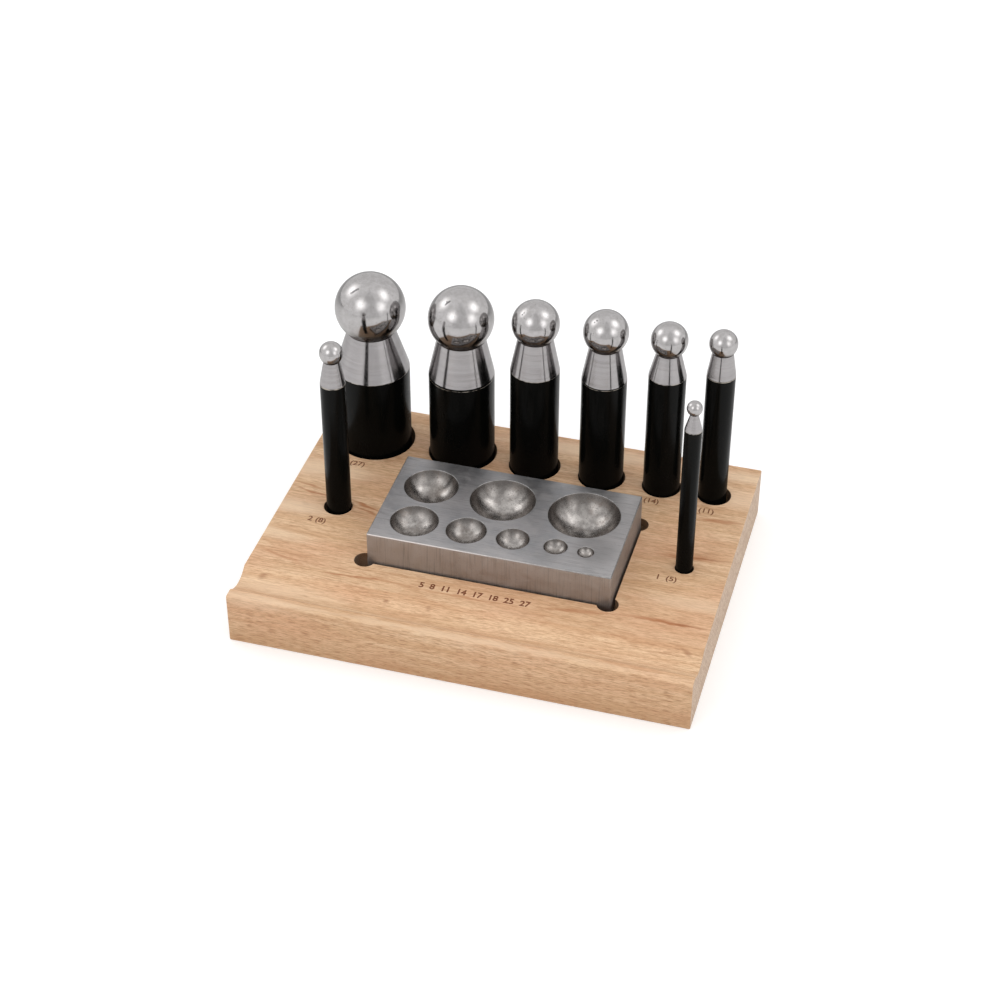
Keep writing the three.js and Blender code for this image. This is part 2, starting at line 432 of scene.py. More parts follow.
# Outlines of the stand
def stand_profile(front, back):
    """The stand's end profile as (point, outward normal, smooth), with Y and Z as its axes."""
    half_chord = GROOVE_WIDTH / 2
    groove_radius = (half_chord**2 + GROOVE_DEPTH**2) / (2 * GROOVE_DEPTH)
    groove_y = front + LIP_WIDTH + half_chord
    groove_z = DECK - GROOVE_DEPTH + groove_radius
    reach = groove_radius + GROOVE_EDGE_ROUND
    drop = groove_z - (DECK - GROOVE_EDGE_ROUND)
    offset = math.sqrt(reach**2 - drop**2)
    tilt = math.degrees(math.atan2(offset, drop))
    edge = EDGE_ROUND
    bend = GROOVE_EDGE_ROUND
    arcs = [
        arc((back - edge, edge), edge, -90, 0, ARC_STEPS),
        arc((back - edge, DECK - edge), edge, 0, 90, ARC_STEPS),
        arc((groove_y + offset, DECK - bend), bend, 90, 90 + tilt, GROOVE_EDGE_STEPS),
        [
            (point, -normal)
            for point, normal in arc(
                (groove_y, groove_z), groove_radius, tilt - 90, -90 - tilt, GROOVE_STEPS
            )
        ],
        arc((groove_y - offset, DECK - bend), bend, 90 - tilt, 90, GROOVE_EDGE_STEPS),
        arc((front + LIP_ROUND, DECK - LIP_ROUND), LIP_ROUND, 90, 180, LIP_STEPS),
        arc((front + edge, edge), edge, 180, 270, ARC_STEPS),
    ]
    profile = []
    for points in arcs:
        last = len(points) - 1
        for index, (point, normal) in enumerate(points):
            if profile and (profile[-1][0] - point).length < TINY:
                profile.pop()
            profile.append((point, normal, index < last))
    return profile


def pocket_outline(grow):
    """The pocket's plan with its drilled corner reliefs, grown outwards by that much."""
    outline = []
    for side, end in ((1, -1), (1, 1), (-1, 1), (-1, -1)):
        x = RELIEF_CENTRE[0] + side * RELIEF_SPAN[0] / 2
        y = RELIEF_CENTRE[1] + end * RELIEF_SPAN[1] / 2
        wall_x = POCKET_CENTRE[0] + side * (POCKET_SIZE[0] / 2 + grow)
        wall_y = POCKET_CENTRE[1] + end * (POCKET_SIZE[1] / 2 + grow)
        radius = RELIEF_RADIUS + grow
        along_x = x - side * math.sqrt(radius**2 - (wall_y - y) ** 2)
        along_y = y - end * math.sqrt(radius**2 - (wall_x - x) ** 2)
        from_x = math.atan2(wall_y - y, along_x - x)
        from_y = math.atan2(along_y - y, wall_x - x)
        start, stop = (from_x, from_y) if side != end else (from_y, from_x)
        while stop < start:
            stop += 2 * math.pi
        for step in range(RELIEF_STEPS + 1):
            turn = start + (stop - start) * step / RELIEF_STEPS
            outline.append((x + radius * math.cos(turn), y + radius * math.sin(turn)))
    return outline


def hole_outline(x, y, radius, grow):
    """A punch hole's plan, grown outwards by that much."""
    return circle(x, y, radius + grow)


def figure_loops(text, left, middle, height, width=None):
    """Outlines of a number's figures lying on the deck."""
    font = bpy.data.curves.new("figures", "FONT")
    font.body = text
    font.resolution_u = FIGURE_STEPS
    font.offset = SIZES_ROW_BOLDNESS if width else FIGURE_BOLDNESS
    holder = bpy.data.objects.new("figures", font)
    bpy.context.scene.collection.objects.link(holder)
    bpy.context.view_layer.update()
    shown = holder.evaluated_get(bpy.context.evaluated_depsgraph_get())
    mesh = shown.to_mesh()
    flat = bmesh.new()
    flat.from_mesh(mesh)
    shown.to_mesh_clear()
    bmesh.ops.remove_doubles(flat, verts=flat.verts, dist=FIGURE_TOLERANCE)
    rim = [edge for edge in flat.edges if len(edge.link_faces) == 1]
    loops = []
    unused = set(rim)
    while unused:
        edge = min(unused, key=lambda candidate: candidate.index)
        unused.discard(edge)
        first, current = edge.verts
        loop = [first]
        while current is not first:
            loop.append(current)
            following = [other for other in current.link_edges if other in unused]
            if not following:
                break
            unused.discard(following[0])
            current = following[0].other_vert(current)
        loops.append([tuple(vertex.co[:2]) for vertex in loop])
    flat.free()
    bpy.data.objects.remove(holder)
    bpy.data.curves.remove(font)
    corners = np.array([point for loop in loops for point in loop])
    low, high = corners.min(axis=0), corners.max(axis=0)
    scale = height / (FONT_FIGURE_HEIGHT if "(" in text else high[1] - max(low[1], 0))
    stretch = width / (high[0] - low[0]) if width else scale
    base = middle - height / 2
    return [
        [(left + (x - low[0]) * stretch, base + y * scale) for x, y in loop] for loop in loops
    ]


# Pieces
def make_stand(materials):
    low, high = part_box("stand")
    low, high = low / MM, high / MM
    shell = Shell()
    profile = stand_profile(low.y, high.y)
    flags = [smooth for _, _, smooth in profile]
    rings = []
    for side in (-1, 1):
        face = high.x if side > 0 else low.x
        turns = [90 * step / ARC_STEPS for step in range(ARC_STEPS + 1)]
        if side < 0:
            turns.reverse()
        for turn in turns:
            inset = END_ROUND * (1 - math.cos(math.radians(turn)))
            x = face - side * END_ROUND * (1 - math.sin(math.radians(turn)))
            rings.append([(x, *(point - inset * normal)) for point, normal, _ in profile])
    middle = ARC_STEPS
    deck_start = 2 * ARC_STEPS + 1
    for index in range(len(rings) - 1):
        near, far = rings[index], rings[index + 1]
        if index != middle:
            shell.band(near, far)
            continue
        count = len(near)
        for step in range(count):
            if step == deck_start:
                continue
            after = (step + 1) % count
            corners = [near[step], near[after], far[after], far[step]]
            shell.add(corners, [(0, 1, 2, 3)], smooth=flags[step])
    shell.add(rings[0], [list(range(len(profile)))[::-1]])
    shell.add(rings[-1], [list(range(len(profile)))])

    near, far = rings[middle], rings[middle + 1]
    outer = [near[deck_start + 1], far[deck_start + 1], far[deck_start], near[deck_start]]
    loops = [[point[:2] for point in outer], pocket_outline(RIM_ROUND)]
    hollows = [(pocket_outline, POCKET_FLOOR)]
    for size, (_, _, diameter, drift) in PUNCHES.items():
        corner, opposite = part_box(f"punch_{size}_shank")
        x = (corner.x + opposite.x) / 2 / MM + drift
        y = (corner.y + opposite.y) / 2 / MM
        outline = partial(hole_outline, x, y, diameter / 2)
        loops.append(outline(RIM_ROUND))
        hollows.append((outline, HOLE_FLOOR))
    for outline, floor in hollows:
        edge = outline(0)
        wall = [(x, y, floor) for x, y in edge]
        above = [(x, y, DECK - RIM_ROUND) for x, y in edge]
        shell.band(above, wall, slot=BORED)
        shell.plate([edge], floor, slot=BORED)
        last = above
        for step in range(1, ARC_STEPS):
            turn = math.radians(90 * step / (ARC_STEPS - 1))
            height = DECK - RIM_ROUND * (1 - math.sin(turn))
            ring = [(x, y, height) for x, y in outline(RIM_ROUND * (1 - math.cos(turn)))]
            shell.band(ring, last)
            last = ring

    burnt = []
    for number, number_left, ball, ball_left, middle_y in FIGURES:
        burnt += figure_loops(number, number_left, middle_y, FIGURE_HEIGHT)
        burnt += figure_loops(ball, ball_left, middle_y, FIGURE_HEIGHT)
    burnt += figure_loops(*SIZES_ROW)
    shell.plate(loops + burnt, DECK)
    shell.plate(burnt, DECK - FIGURE_DEPTH, slot=BURNT)
    for loop in burnt:
        top = [(x, y, DECK) for x, y in loop]
        bottom = [(x, y, DECK - FIGURE_DEPTH) for x, y in loop]
        shell.band(top, bottom, slot=BURNT, smooth=False)
    return shell.build("beech_stand", materials, "stand", ["stand"])


def make_block(materials):
    low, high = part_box("dapping_block")
    low, high = low / MM, high / MM
    shell = Shell()

    def outline(inset, height):
        radius = BLOCK_CORNER_ROUND - inset
        centres = [
            (high.x, low.y, -90),
            (high.x, high.y, 0),
            (low.x, high.y, 90),
            (low.x, low.y, 180),
        ]
        points = []
        for x, y, start in centres:
            inner_x = x - math.copysign(BLOCK_CORNER_ROUND, x - (low.x + high.x) / 2)
            inner_y = y - math.copysign(BLOCK_CORNER_ROUND, y - (low.y + high.y) / 2)
            for point, _ in arc((inner_x, inner_y), radius, start, start + 90, ARC_STEPS):
                points.append((point.x, point.y, height))
        return points

    turns = [math.radians(90 * step / ARC_STEPS) for step in range(ARC_STEPS + 1)]
    edge = BLOCK_EDGE_ROUND
    rings = [
        outline(edge * (1 - math.cos(turn)), low.z + edge * (1 - math.sin(turn)))
        for turn in reversed(turns)
    ]
    rings += [
        outline(edge * (1 - math.cos(turn)), high.z - edge * (1 - math.sin(turn)))
        for turn in turns
    ]
    per_corner = ARC_STEPS + 1
    corner_flags = [step % per_corner != ARC_STEPS for step in range(4 * per_corner)]
    for index in range(len(rings) - 1):
        if index == ARC_STEPS:
            shell.band(rings[index], rings[index + 1], smooth=corner_flags)
        else:
            shell.band(rings[index], rings[index + 1], slot=EDGE)
    shell.plate([rings[0]], low.z, turned_down=True)

    mouths = []
    for mouth, x, y in BOWLS:
        sphere = mouth / 2 * BOWL_SPHERE_RATIO
        centre = high.z + math.sqrt(sphere**2 - (mouth / 2) ** 2)
        reach = sphere + BOWL_RIM_ROUND
        drop = centre - (high.z - BOWL_RIM_ROUND)
        rim = math.sqrt(reach**2 - drop**2)
        tilt = math.degrees(math.atan2(rim, drop))
        profile = [
            (point.x, point.y, EDGE, True)
            for point, _ in arc(
                (rim, high.z - BOWL_RIM_ROUND), BOWL_RIM_ROUND, 90, 90 + tilt, BOWL_RIM_STEPS
            )
        ]
        for step in range(1, BOWL_STEPS + 1):
            turn = math.radians(tilt * (1 - step / BOWL_STEPS))
            radius = sphere * math.sin(turn)
            profile.append((radius, centre - sphere * math.cos(turn), BOWL, True))
        shell.lathe(profile, (x, y))
        mouths.append(circle(x, y, rim))
    shell.plate([rings[-1], *mouths], high.z)
    return shell.build("steel_block", materials, "block", ["dapping_block"])


def make_punch(size, materials):
    neck, nose, _, _ = PUNCHES[size]
    body = f"punch_{size}"
    low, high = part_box(f"{body}_shank")
    low, high = low / MM, high / MM
    centre = ((low.x + high.x) / 2, (low.y + high.y) / 2)
    ball_low, ball_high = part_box(f"{body}_ball")
    ball_low, ball_high = ball_low / MM, ball_high / MM
    radius = (high.x - low.x) / 2
    ball_radius = (ball_high.z - ball_low.z) / 2
    ball_middle = (ball_high.z + ball_low.z) / 2
    shoulder = ball_high.z - nose

    ball = Shell()
    profile = []
    for step in range(BALL_RINGS + 1):
        turn = math.pi * step / BALL_RINGS
        height = ball_middle - ball_radius * math.cos(turn)
        profile.append((ball_radius * math.sin(turn), height, MAIN, True))
    ball.lathe(profile, centre)
    ball.build(
        f"{body}_polished_ball", [materials["ball"]], body, [f"{body}_ball"]
    )

    # The nose tapers to where its neck meets the ball, and ends in a cup for the ball.
    meet = math.asin(neck / 2 / ball_radius)
    neck_height = ball_middle - ball_radius * math.cos(meet)
    bead = max(BEAD_LEAST, BEAD_SHARE * neck)
    shank = Shell()
    chamfer = min(BUTT_CHAMFER, radius * BUTT_CHAMFER_SHARE)
    worn_start, worn_height = WORN_LINES[size]
    worn_top = shoulder - SHOULDER_ROUND - worn_start
    profile = [(0, low.z, MAIN, False), (radius - chamfer, low.z, MAIN, False)]
    for inset, rise in BUTT_ROUND:
        profile.append((radius - inset, low.z + chamfer + rise, MAIN, True))
    profile.append((radius, worn_top - worn_height, MAIN, True))
    profile.append((radius - WORN_DEPTH, worn_top, WORN, True))
    if worn_start:
        profile.append((radius - 2 * WORN_DEPTH, shoulder - SHOULDER_ROUND, MAIN, True))
    profile.append((radius - SHOULDER_ROUND, shoulder + SHOULDER_ROUND, NOSE, True))
    run = Vector((neck / 2 - radius, neck_height - bead / 2 - shoulder))
    shares = [step / NOSE_STEPS for step in range(1, NOSE_STEPS)] + [1 - NOSE_END / run.y, 1.0]
    for share in shares:
        if run.y * share > NOSE_FIRST_RING:
            profile.append((radius + run.x * share, shoulder + run.y * share, NOSE, True))
    cup = ball_radius + CUP_GAP
    cup_edge = math.asin((neck / 2 - CUP_LIP) / cup)
    for step in range(CUP_STEPS + 1):
        turn = cup_edge * (1 - step / CUP_STEPS)
        height = ball_middle - cup * math.cos(turn)
        profile.append((cup * math.sin(turn), height, NOSE, step > 0))
    shank.lathe(profile, centre)
    shank.build(
        f"{body}_bar",
        [materials["black"], materials["nose"], materials["worn"]],
        body,
        [f"{body}_shank"],
    )

    weld = Shell()
    profile = []
    for step in range(BEAD_STEPS + 1):
        turn = 2 * math.pi * step / BEAD_STEPS
        across = neck / 2 - bead * BEAD_INSET + bead * math.cos(turn)
        height = neck_height - bead * BEAD_DROP + bead * BEAD_FLATNESS * math.sin(turn)
        profile.append((across, height, MAIN, True))
    weld.lathe(profile, centre)
    weld.build(f"{body}_weld", [materials["weld"]], body)


# Materials
class Nodes:
    """Short ways to add nodes to one tree."""

    def __init__(self, tree):
        self.tree = tree

    def link(self, value, socket):
        if isinstance(value, bpy.types.NodeSocket):
            self.tree.links.new(value, socket)
        else:
            socket.default_value = value

    def add(self, kind, inputs, output=0, **settings):
        made = self.tree.nodes.new(kind)
        for name, value in settings.items():
            setattr(made, name, value)
        for name, value in inputs.items():
            self.link(value, made.inputs[name])
        return made.outputs[output]

    def noise(self, vector, detail, roughness=0.5):
        inputs = {"Vector": vector, "Scale": 1.0, "Detail": detail, "Roughness": roughness}
        return self.add("ShaderNodeTexNoise", inputs)

    def cells(self, vector, output="Distance"):
        return self.add("ShaderNodeTexVoronoi", {"Vector": vector, "Scale": 1.0}, output)

    def maths(self, operation, first, second=0.0, third=0.0):
        inputs = {0: first, 1: second, 2: third}
        return self.add("ShaderNodeMath", inputs, operation=operation)

    def measure(self, operation, first, second=(0, 0, 0)):
        """One number from vectors: a length, a distance or a dot product."""
        inputs = {0: first, 1: second}
        return self.add("ShaderNodeVectorMath", inputs, "Value", operation=operation)

    def split(self, vector):
        """The X, Y and Z of a vector."""
        parts = self.add("ShaderNodeSeparateXYZ", {"Vector": vector}).node.outputs
        return parts["X"], parts["Y"], parts["Z"]

    def between(self, value, low, high, out_low=0.0, out_high=1.0):
        """Fits a value from one range to another, with a soft start and end."""
        inputs = {"Value": value, "From Min": low, "From Max": high}
        inputs |= {"To Min": out_low, "To Max": out_high}
        return self.add("ShaderNodeMapRange", inputs, interpolation_type="SMOOTHSTEP")

    def mix(self, factor, first, second):
        inputs = {0: factor, 6: first, 7: second}
        return self.add("ShaderNodeMix", inputs, output=2, data_type="RGBA")

    def bump(self, height, distance, strength):
        inputs = {"Height": height, "Distance": distance * MM, "Strength": strength}
        return self.add("ShaderNodeBump", inputs)


class Recipe(Nodes):
    """The nodes of one material."""

    def __init__(self, name):
        self.material = bpy.data.materials.new(name)
        self.material.use_nodes = True
        super().__init__(self.material.node_tree)
        self.shader = self.tree.nodes["Principled BSDF"]
        self.coordinates = self.tree.nodes.new("ShaderNodeTexCoord")

    def set(self, **values):
        for name, value in values.items():
            self.shader.inputs[name.replace("_", " ")].default_value = value

    def place(self, scale=(1, 1, 1), turn=(0, 0, 0), shift=(0, 0, 0)):
        """Coordinates in millimetres on the object: turned, then stretched by scale and shifted."""
        inputs = {"Vector": self.coordinates.outputs["Object"], "Rotation": turn}
        turned = self.add("ShaderNodeMapping", inputs)
        scale = tuple(value / MM for value in scale)
        inputs = {"Vector": turned, "Scale": scale, "Location": shift}
        return self.add("ShaderNodeMapping", inputs)

    def spotted(self, colour, spots, tint):
        """Blends in soft round marks, each where its middle says."""
        place = self.place()
        for x, y, z, radius, strength in spots:
            apart = self.measure("DISTANCE", place, (x, y, z))
            shown = self.between(apart, radius, radius * SPOT_CORE, 0.0, strength)
            colour = self.mix(shown, colour, tint)
        return colour

    def painted_reflection_shade(self, colour, share, shade):
        """Paints shade into reflections: tones a colour down only where steel reflects it, so
        reflections of it come out darker.
        """
        reflected = self.add("ShaderNodeLightPath", {}, "Is Glossy Ray")
        return self.mix(self.maths("MULTIPLY", reflected, share), colour, shade)

    def finish(self, colour, roughness, normal):
        for value, name in ((colour, "Base Color"), (roughness, "Roughness"), (normal, "Normal")):
            self.link(value, self.shader.inputs[name])
        return self.material


def tone(red, green, blue):
    """A colour given as it shows on a screen, from 0 to 255, as the linear colour of a shader."""
    linear = []
    for value in (red, green, blue):
        share = value / 255
        low = share / 12.92
        linear.append(low if share <= 0.04045 else ((share + 0.055) / 1.055) ** 2.4)
    return (*linear, 1.0)


def beech(name, burn_and_painted_shade=0.0, shade=None):
    """Beech with its grain along X. The second argument is how far it is darkened towards shade:
    heat browning in the burnt figures, painted shade on the bored walls.
    """
    recipe = Recipe(name)
    across, _, upright = recipe.split(recipe.coordinates.outputs["Normal"])
    end = recipe.between(recipe.maths("ABSOLUTE", across), 0.6, 0.95)
    side = recipe.between(recipe.maths("ABSOLUTE", upright), 0.8, 0.3)

    # Growth rings
    warp = recipe.noise(recipe.place((0.008, 0.03, 0.03)), detail=3)
    rings = recipe.measure("LENGTH", recipe.place((0, 1, 1), shift=FROM_HEART))
    rings = recipe.maths("MULTIPLY_ADD", warp, RING_WAVER, rings)
    rings = recipe.maths("FRACT", recipe.maths("MULTIPLY", rings, RINGS_PER_MM))
    late = recipe.between(rings, 0.5, 1.0)

    # Fine grain
    streaks = recipe.noise(recipe.place((0.012, 0.3, 0.3)), detail=4, roughness=0.55)
    lines = recipe.noise(recipe.place((0.1, 1.5, 1.5), shift=(2, 5, 3)), detail=3, roughness=0.6)
    fibres = recipe.noise(recipe.place((0.36, 2.8, 2.8)), detail=3, roughness=0.7)
    blush = recipe.noise(recipe.place((0.02, 0.06, 0.06), shift=(3, 7, 1)), detail=3)

    # Rays, which show as fine brown dashes, thickest on the sides
    hatch = recipe.noise(recipe.place((0.24, 3.2, 3.2), shift=(6, 2, 8)), detail=3)
    hatch = recipe.maths(
        "MULTIPLY", recipe.between(hatch, 0.5, 0.63), recipe.maths("MULTIPLY_ADD", side, 0.28, 0.38)
    )
    ray_place = recipe.place((0.36, 2.0, 2.0), shift=(0.7, 0.1, 0.4))
    rays = recipe.between(recipe.cells(ray_place), 0.42, 0.16)
    chosen = recipe.cells(ray_place, output="Color")
    rays = recipe.maths("MULTIPLY", rays, recipe.between(chosen, 0.3, 0.8))
    amount = recipe.maths("MULTIPLY_ADD", side, 0.16, 0.12)
    flecks = recipe.maths("MULTIPLY", rays, amount)

    light, dark = tone(241, 207, 169), tone(223, 183, 143)
    colour = recipe.mix(recipe.between(streaks, 0.32, 0.68), light, dark)
    colour = recipe.mix(recipe.maths("MULTIPLY", late, 0.25), colour, tone(200, 151, 108))
    colour = recipe.mix(recipe.between(blush, 0.42, 0.7, 0.0, 0.45), colour, tone(228, 175, 140))
    colour = recipe.mix(recipe.between(lines, 0.5, 0.66, 0.0, 0.45), colour, tone(190, 142, 104))
    colour = recipe.mix(recipe.between(fibres, 0.46, 0.64, 0.0, 0.4), colour, tone(178, 130, 94))
    # Painted shade: the sides darker than the deck, and darker still towards the bottom.
    _, _, raised = recipe.split(recipe.place())
    painted_side_shade = recipe.maths("MULTIPLY", side, recipe.between(raised, 17, 0, 0.08, 0.46))
    colour = recipe.mix(painted_side_shade, colour, tone(186, 144, 106))
    colour = recipe.mix(hatch, colour, tone(166, 118, 80))
    colour = recipe.mix(flecks, colour, tone(140, 90, 58))

    # Marks, each an oval with a ragged edge
    ragged = recipe.noise(recipe.place((0.12, 0.5, 0.5)), detail=3)
    ragged = recipe.maths("MULTIPLY_ADD", ragged, 3.0 * MM, -1.5 * MM)
    ragged = recipe.add("ShaderNodeCombineXYZ", {"Y": ragged})
    inputs = {0: recipe.coordinates.outputs["Object"], 1: ragged}
    ragged = recipe.add("ShaderNodeVectorMath", inputs, operation="ADD")
    # The pale patches are partly pale wood and partly painted light where the deck catches more
    # light.
    for marks, tint, depth in (
        (PALE_WOOD_AND_PAINTED_LIGHT, tone(244, 216, 184), 6.0),
        (RED_STREAKS, tone(180, 117, 75), 4.0),
        (DARK_MARKS, tone(140, 80, 42), 5.0),
    ):
        for x, y, half_length, half_width, tilt, strength in marks:
            spot = recipe.add(
                "ShaderNodeMapping",
                {
                    "Vector": ragged,
                    "Location": (x * MM, y * MM, DECK * MM),
                    "Rotation": (0, 0, math.radians(tilt)),
                    "Scale": (half_length * MM, half_width * MM, depth * MM),
                },
                vector_type="TEXTURE",
            )
            reach = recipe.measure("LENGTH", spot)
            shown = recipe.between(reach, *MARK_EDGE, 0.0, strength)
            colour = recipe.mix(shown, colour, tint)

    # End grain, with slanting saw marks
    pores = recipe.noise(recipe.place((0.6, 4.0, 4.0)), detail=3, roughness=0.7)
    grain = recipe.mix(recipe.between(pores, 0.35, 0.65), tone(190, 162, 138), tone(228, 206, 184))
    grain = recipe.mix(recipe.maths("MULTIPLY", late, 0.35), grain, tone(192, 158, 130))
    saw = recipe.noise(
        recipe.place((0.1, 1.7, 0.16), turn=(math.radians(-40), 0, 0)), detail=4
    )
    grain = recipe.mix(recipe.between(saw, 0.42, 0.64, 0.0, 0.45), grain, tone(176, 142, 116))
    colour = recipe.mix(end, colour, grain)
    # Heat browning for the burnt figures, and painted shade darkening the bored walls of the
    # hollows.
    if burn_and_painted_shade:
        colour = recipe.mix(burn_and_painted_shade, colour, shade)
    # Painted shade in reflections: the wood shows darker where steel reflects it.
    colour = recipe.painted_reflection_shade(colour, 0.7, shade or tone(74, 66, 58))

    height = recipe.maths("MULTIPLY_ADD", rays, -0.3, recipe.maths("SUBTRACT", 1.0, fibres))
    height = recipe.maths("MULTIPLY_ADD", recipe.maths("MULTIPLY", saw, end), 0.8, height)
    normal = recipe.bump(height, 0.06, 0.7)
    roughness = recipe.between(fibres, 0.3, 0.8, 0.5, 0.66)
    recipe.set(Specular_IOR_Level=0.3)
    return recipe.finish(colour, roughness, normal)


def ground_steel():
    """The block's faces: ground along X on top and upright on the sides, with painted light on the
    sides and the top, and painted shade on the top.
    """
    recipe = Recipe("ground_steel")
    _, _, upright = recipe.split(recipe.coordinates.outputs["Normal"])
    side = recipe.between(recipe.maths("ABSOLUTE", upright), 0.7, 0.3)
    level_lines = recipe.noise(recipe.place((0.12, 4.0, 4.0)), detail=3, roughness=0.6)
    upright_lines = recipe.noise(recipe.place((2.6, 2.6, 0.06)), detail=3, roughness=0.6)
    lines = recipe.mix(side, level_lines, upright_lines)
    clouds = recipe.noise(recipe.place((0.07, 0.1, 0.1)), detail=4, roughness=0.6)
    patches = recipe.noise(recipe.place((0.3, 0.3, 0.3), shift=(2, 6, 4)), detail=4, roughness=0.65)
    specks = recipe.noise(recipe.place((1.8, 1.8, 1.8)), detail=3, roughness=0.7)
    colour = recipe.mix(recipe.between(clouds, 0.3, 0.7), tone(170, 170, 173), tone(194, 191, 192))
    colour = recipe.mix(recipe.between(patches, 0.45, 0.7, 0.0, 0.35), colour, tone(196, 192, 190))
    # Painted light: the sides lighter than the top.
    colour = recipe.mix(recipe.maths("MULTIPLY", side, 0.85), colour, tone(225, 213, 205))
    # Painted light: the top lighter towards its right end and along its front.
    along, inwards, _ = recipe.split(recipe.place())
    painted_light_on_top = recipe.maths(
        "MAXIMUM", recipe.between(along, 18, 44), recipe.between(inwards, -22, -31, 0.0, 0.7)
    )
    painted_light_on_top = recipe.maths("MULTIPLY", painted_light_on_top, recipe.between(side, 1.0, 0.0, 0.0, 0.5))
    colour = recipe.mix(painted_light_on_top, colour, tone(214, 210, 209))
    # Painted shade on the top's right front.
    colour = recipe.spotted(colour, BLOCK_PAINTED_SHADE, tone(140, 137, 137))
    depth = recipe.between(side, 0.0, 1.0, 0.45, 0.26)
    lines_shown = recipe.maths("MULTIPLY", recipe.between(lines, 0.5, 0.7), depth)
    colour = recipe.mix(lines_shown, colour, tone(120, 116, 114))
    colour = recipe.mix(recipe.between(specks, 0.6, 0.76, 0.0, 0.4), colour, tone(112, 104, 98))
    # Painted shade in reflections: the block shows darker where steel reflects it.
    colour = recipe.painted_reflection_shade(colour, 0.6, tone(50, 48, 44))
    roughness = recipe.between(patches, 0.3, 0.7, 0.34, 0.44)
    roughness = recipe.maths("MULTIPLY_ADD", side, 0.08, roughness)
    height = recipe.maths("MULTIPLY_ADD", specks, 0.5, lines)
    recipe.set(Metallic=1.0)
    return recipe.finish(colour, roughness, recipe.bump(height, 0.014, 0.5))


def edge_steel():
    """Edges and rims worn bright by handling, with a painted highlight along the block's front top
    edge, brightest at the left.
    """
    recipe = Recipe("edge_steel")
    nicks = recipe.noise(recipe.place((0.5, 0.5, 0.5)), detail=4, roughness=0.7)
    colour = recipe.mix(recipe.between(nicks, 0.35, 0.65), tone(150, 148, 147), tone(178, 176, 175))
    along, inwards, _ = recipe.split(recipe.place())
    # Painted highlight along the front top edge, fading from left to right.
    front = recipe.between(inwards, -30.2, -30.55)
    front = recipe.maths("MULTIPLY", front, recipe.between(along, 50, -35))
    colour = recipe.mix(front, colour, tone(220, 212, 208))
    roughness = recipe.between(nicks, 0.3, 0.7, 0.46, 0.36)
    recipe.set(Metallic=1.0)
    return recipe.finish(colour, roughness, recipe.bump(nicks, 0.03, 0.5))


def bowl_steel():
    """The bowls: painted shade that makes the walls darker than the bottom, with brown stains and
    black pits.
    """
    recipe = Recipe("bowl_steel")
    # Painted shade: the walls darker than the bottom, the more so the steeper they are.
    _, _, level = recipe.split(recipe.coordinates.outputs["Normal"])
    wander = recipe.noise(recipe.place((0.25, 0.25, 0.1)), detail=3)
    level = recipe.maths("MULTIPLY_ADD", wander, 0.2, recipe.maths("SUBTRACT", level, 0.1))
    wall = recipe.between(level, 0.86, 0.42)
    lumps = recipe.noise(recipe.place((0.4, 0.4, 0.4)), detail=3, roughness=0.55)
    specks = recipe.noise(recipe.place((1.7, 1.7, 1.7)), detail=4, roughness=0.7)
    stains = recipe.noise(recipe.place((0.2, 0.2, 0.28), shift=(5, 1, 8)), detail=5, roughness=0.7)
    pit_place = recipe.place((1.1, 1.1, 1.1))
    pits = recipe.between(recipe.cells(pit_place), 0.3, 0.12)
    chosen = recipe.cells(pit_place, output="Color")
    pits = recipe.maths("MULTIPLY", pits, recipe.between(chosen, 0.45, 0.65))
    colour = recipe.mix(recipe.between(lumps, 0.34, 0.66), tone(150, 145, 142), tone(186, 181, 177))
    colour = recipe.mix(recipe.maths("MULTIPLY", wall, 0.85), colour, tone(106, 101, 98))
    colour = recipe.mix(recipe.between(stains, 0.48, 0.64, 0.0, 0.38), colour, tone(116, 104, 96))
    colour = recipe.mix(recipe.between(specks, 0.52, 0.7, 0.0, 0.1), colour, tone(96, 86, 80))
    colour = recipe.mix(recipe.maths("MULTIPLY", pits, 0.42), colour, tone(44, 38, 34))
    # Painted shade: darker patches at the bowls' bottoms and far walls.
    colour = recipe.spotted(colour, BOWL_PAINTED_SHADE, tone(112, 104, 98))
    roughness = recipe.between(specks, 0.3, 0.7, 0.2, 0.34)
    height = recipe.maths("MULTIPLY_ADD", specks, 0.06, lumps)
    height = recipe.maths("MULTIPLY_ADD", pits, -0.14, height)
    recipe.set(Metallic=1.0)
    return recipe.finish(colour, roughness, recipe.bump(height, 0.07, 0.4))


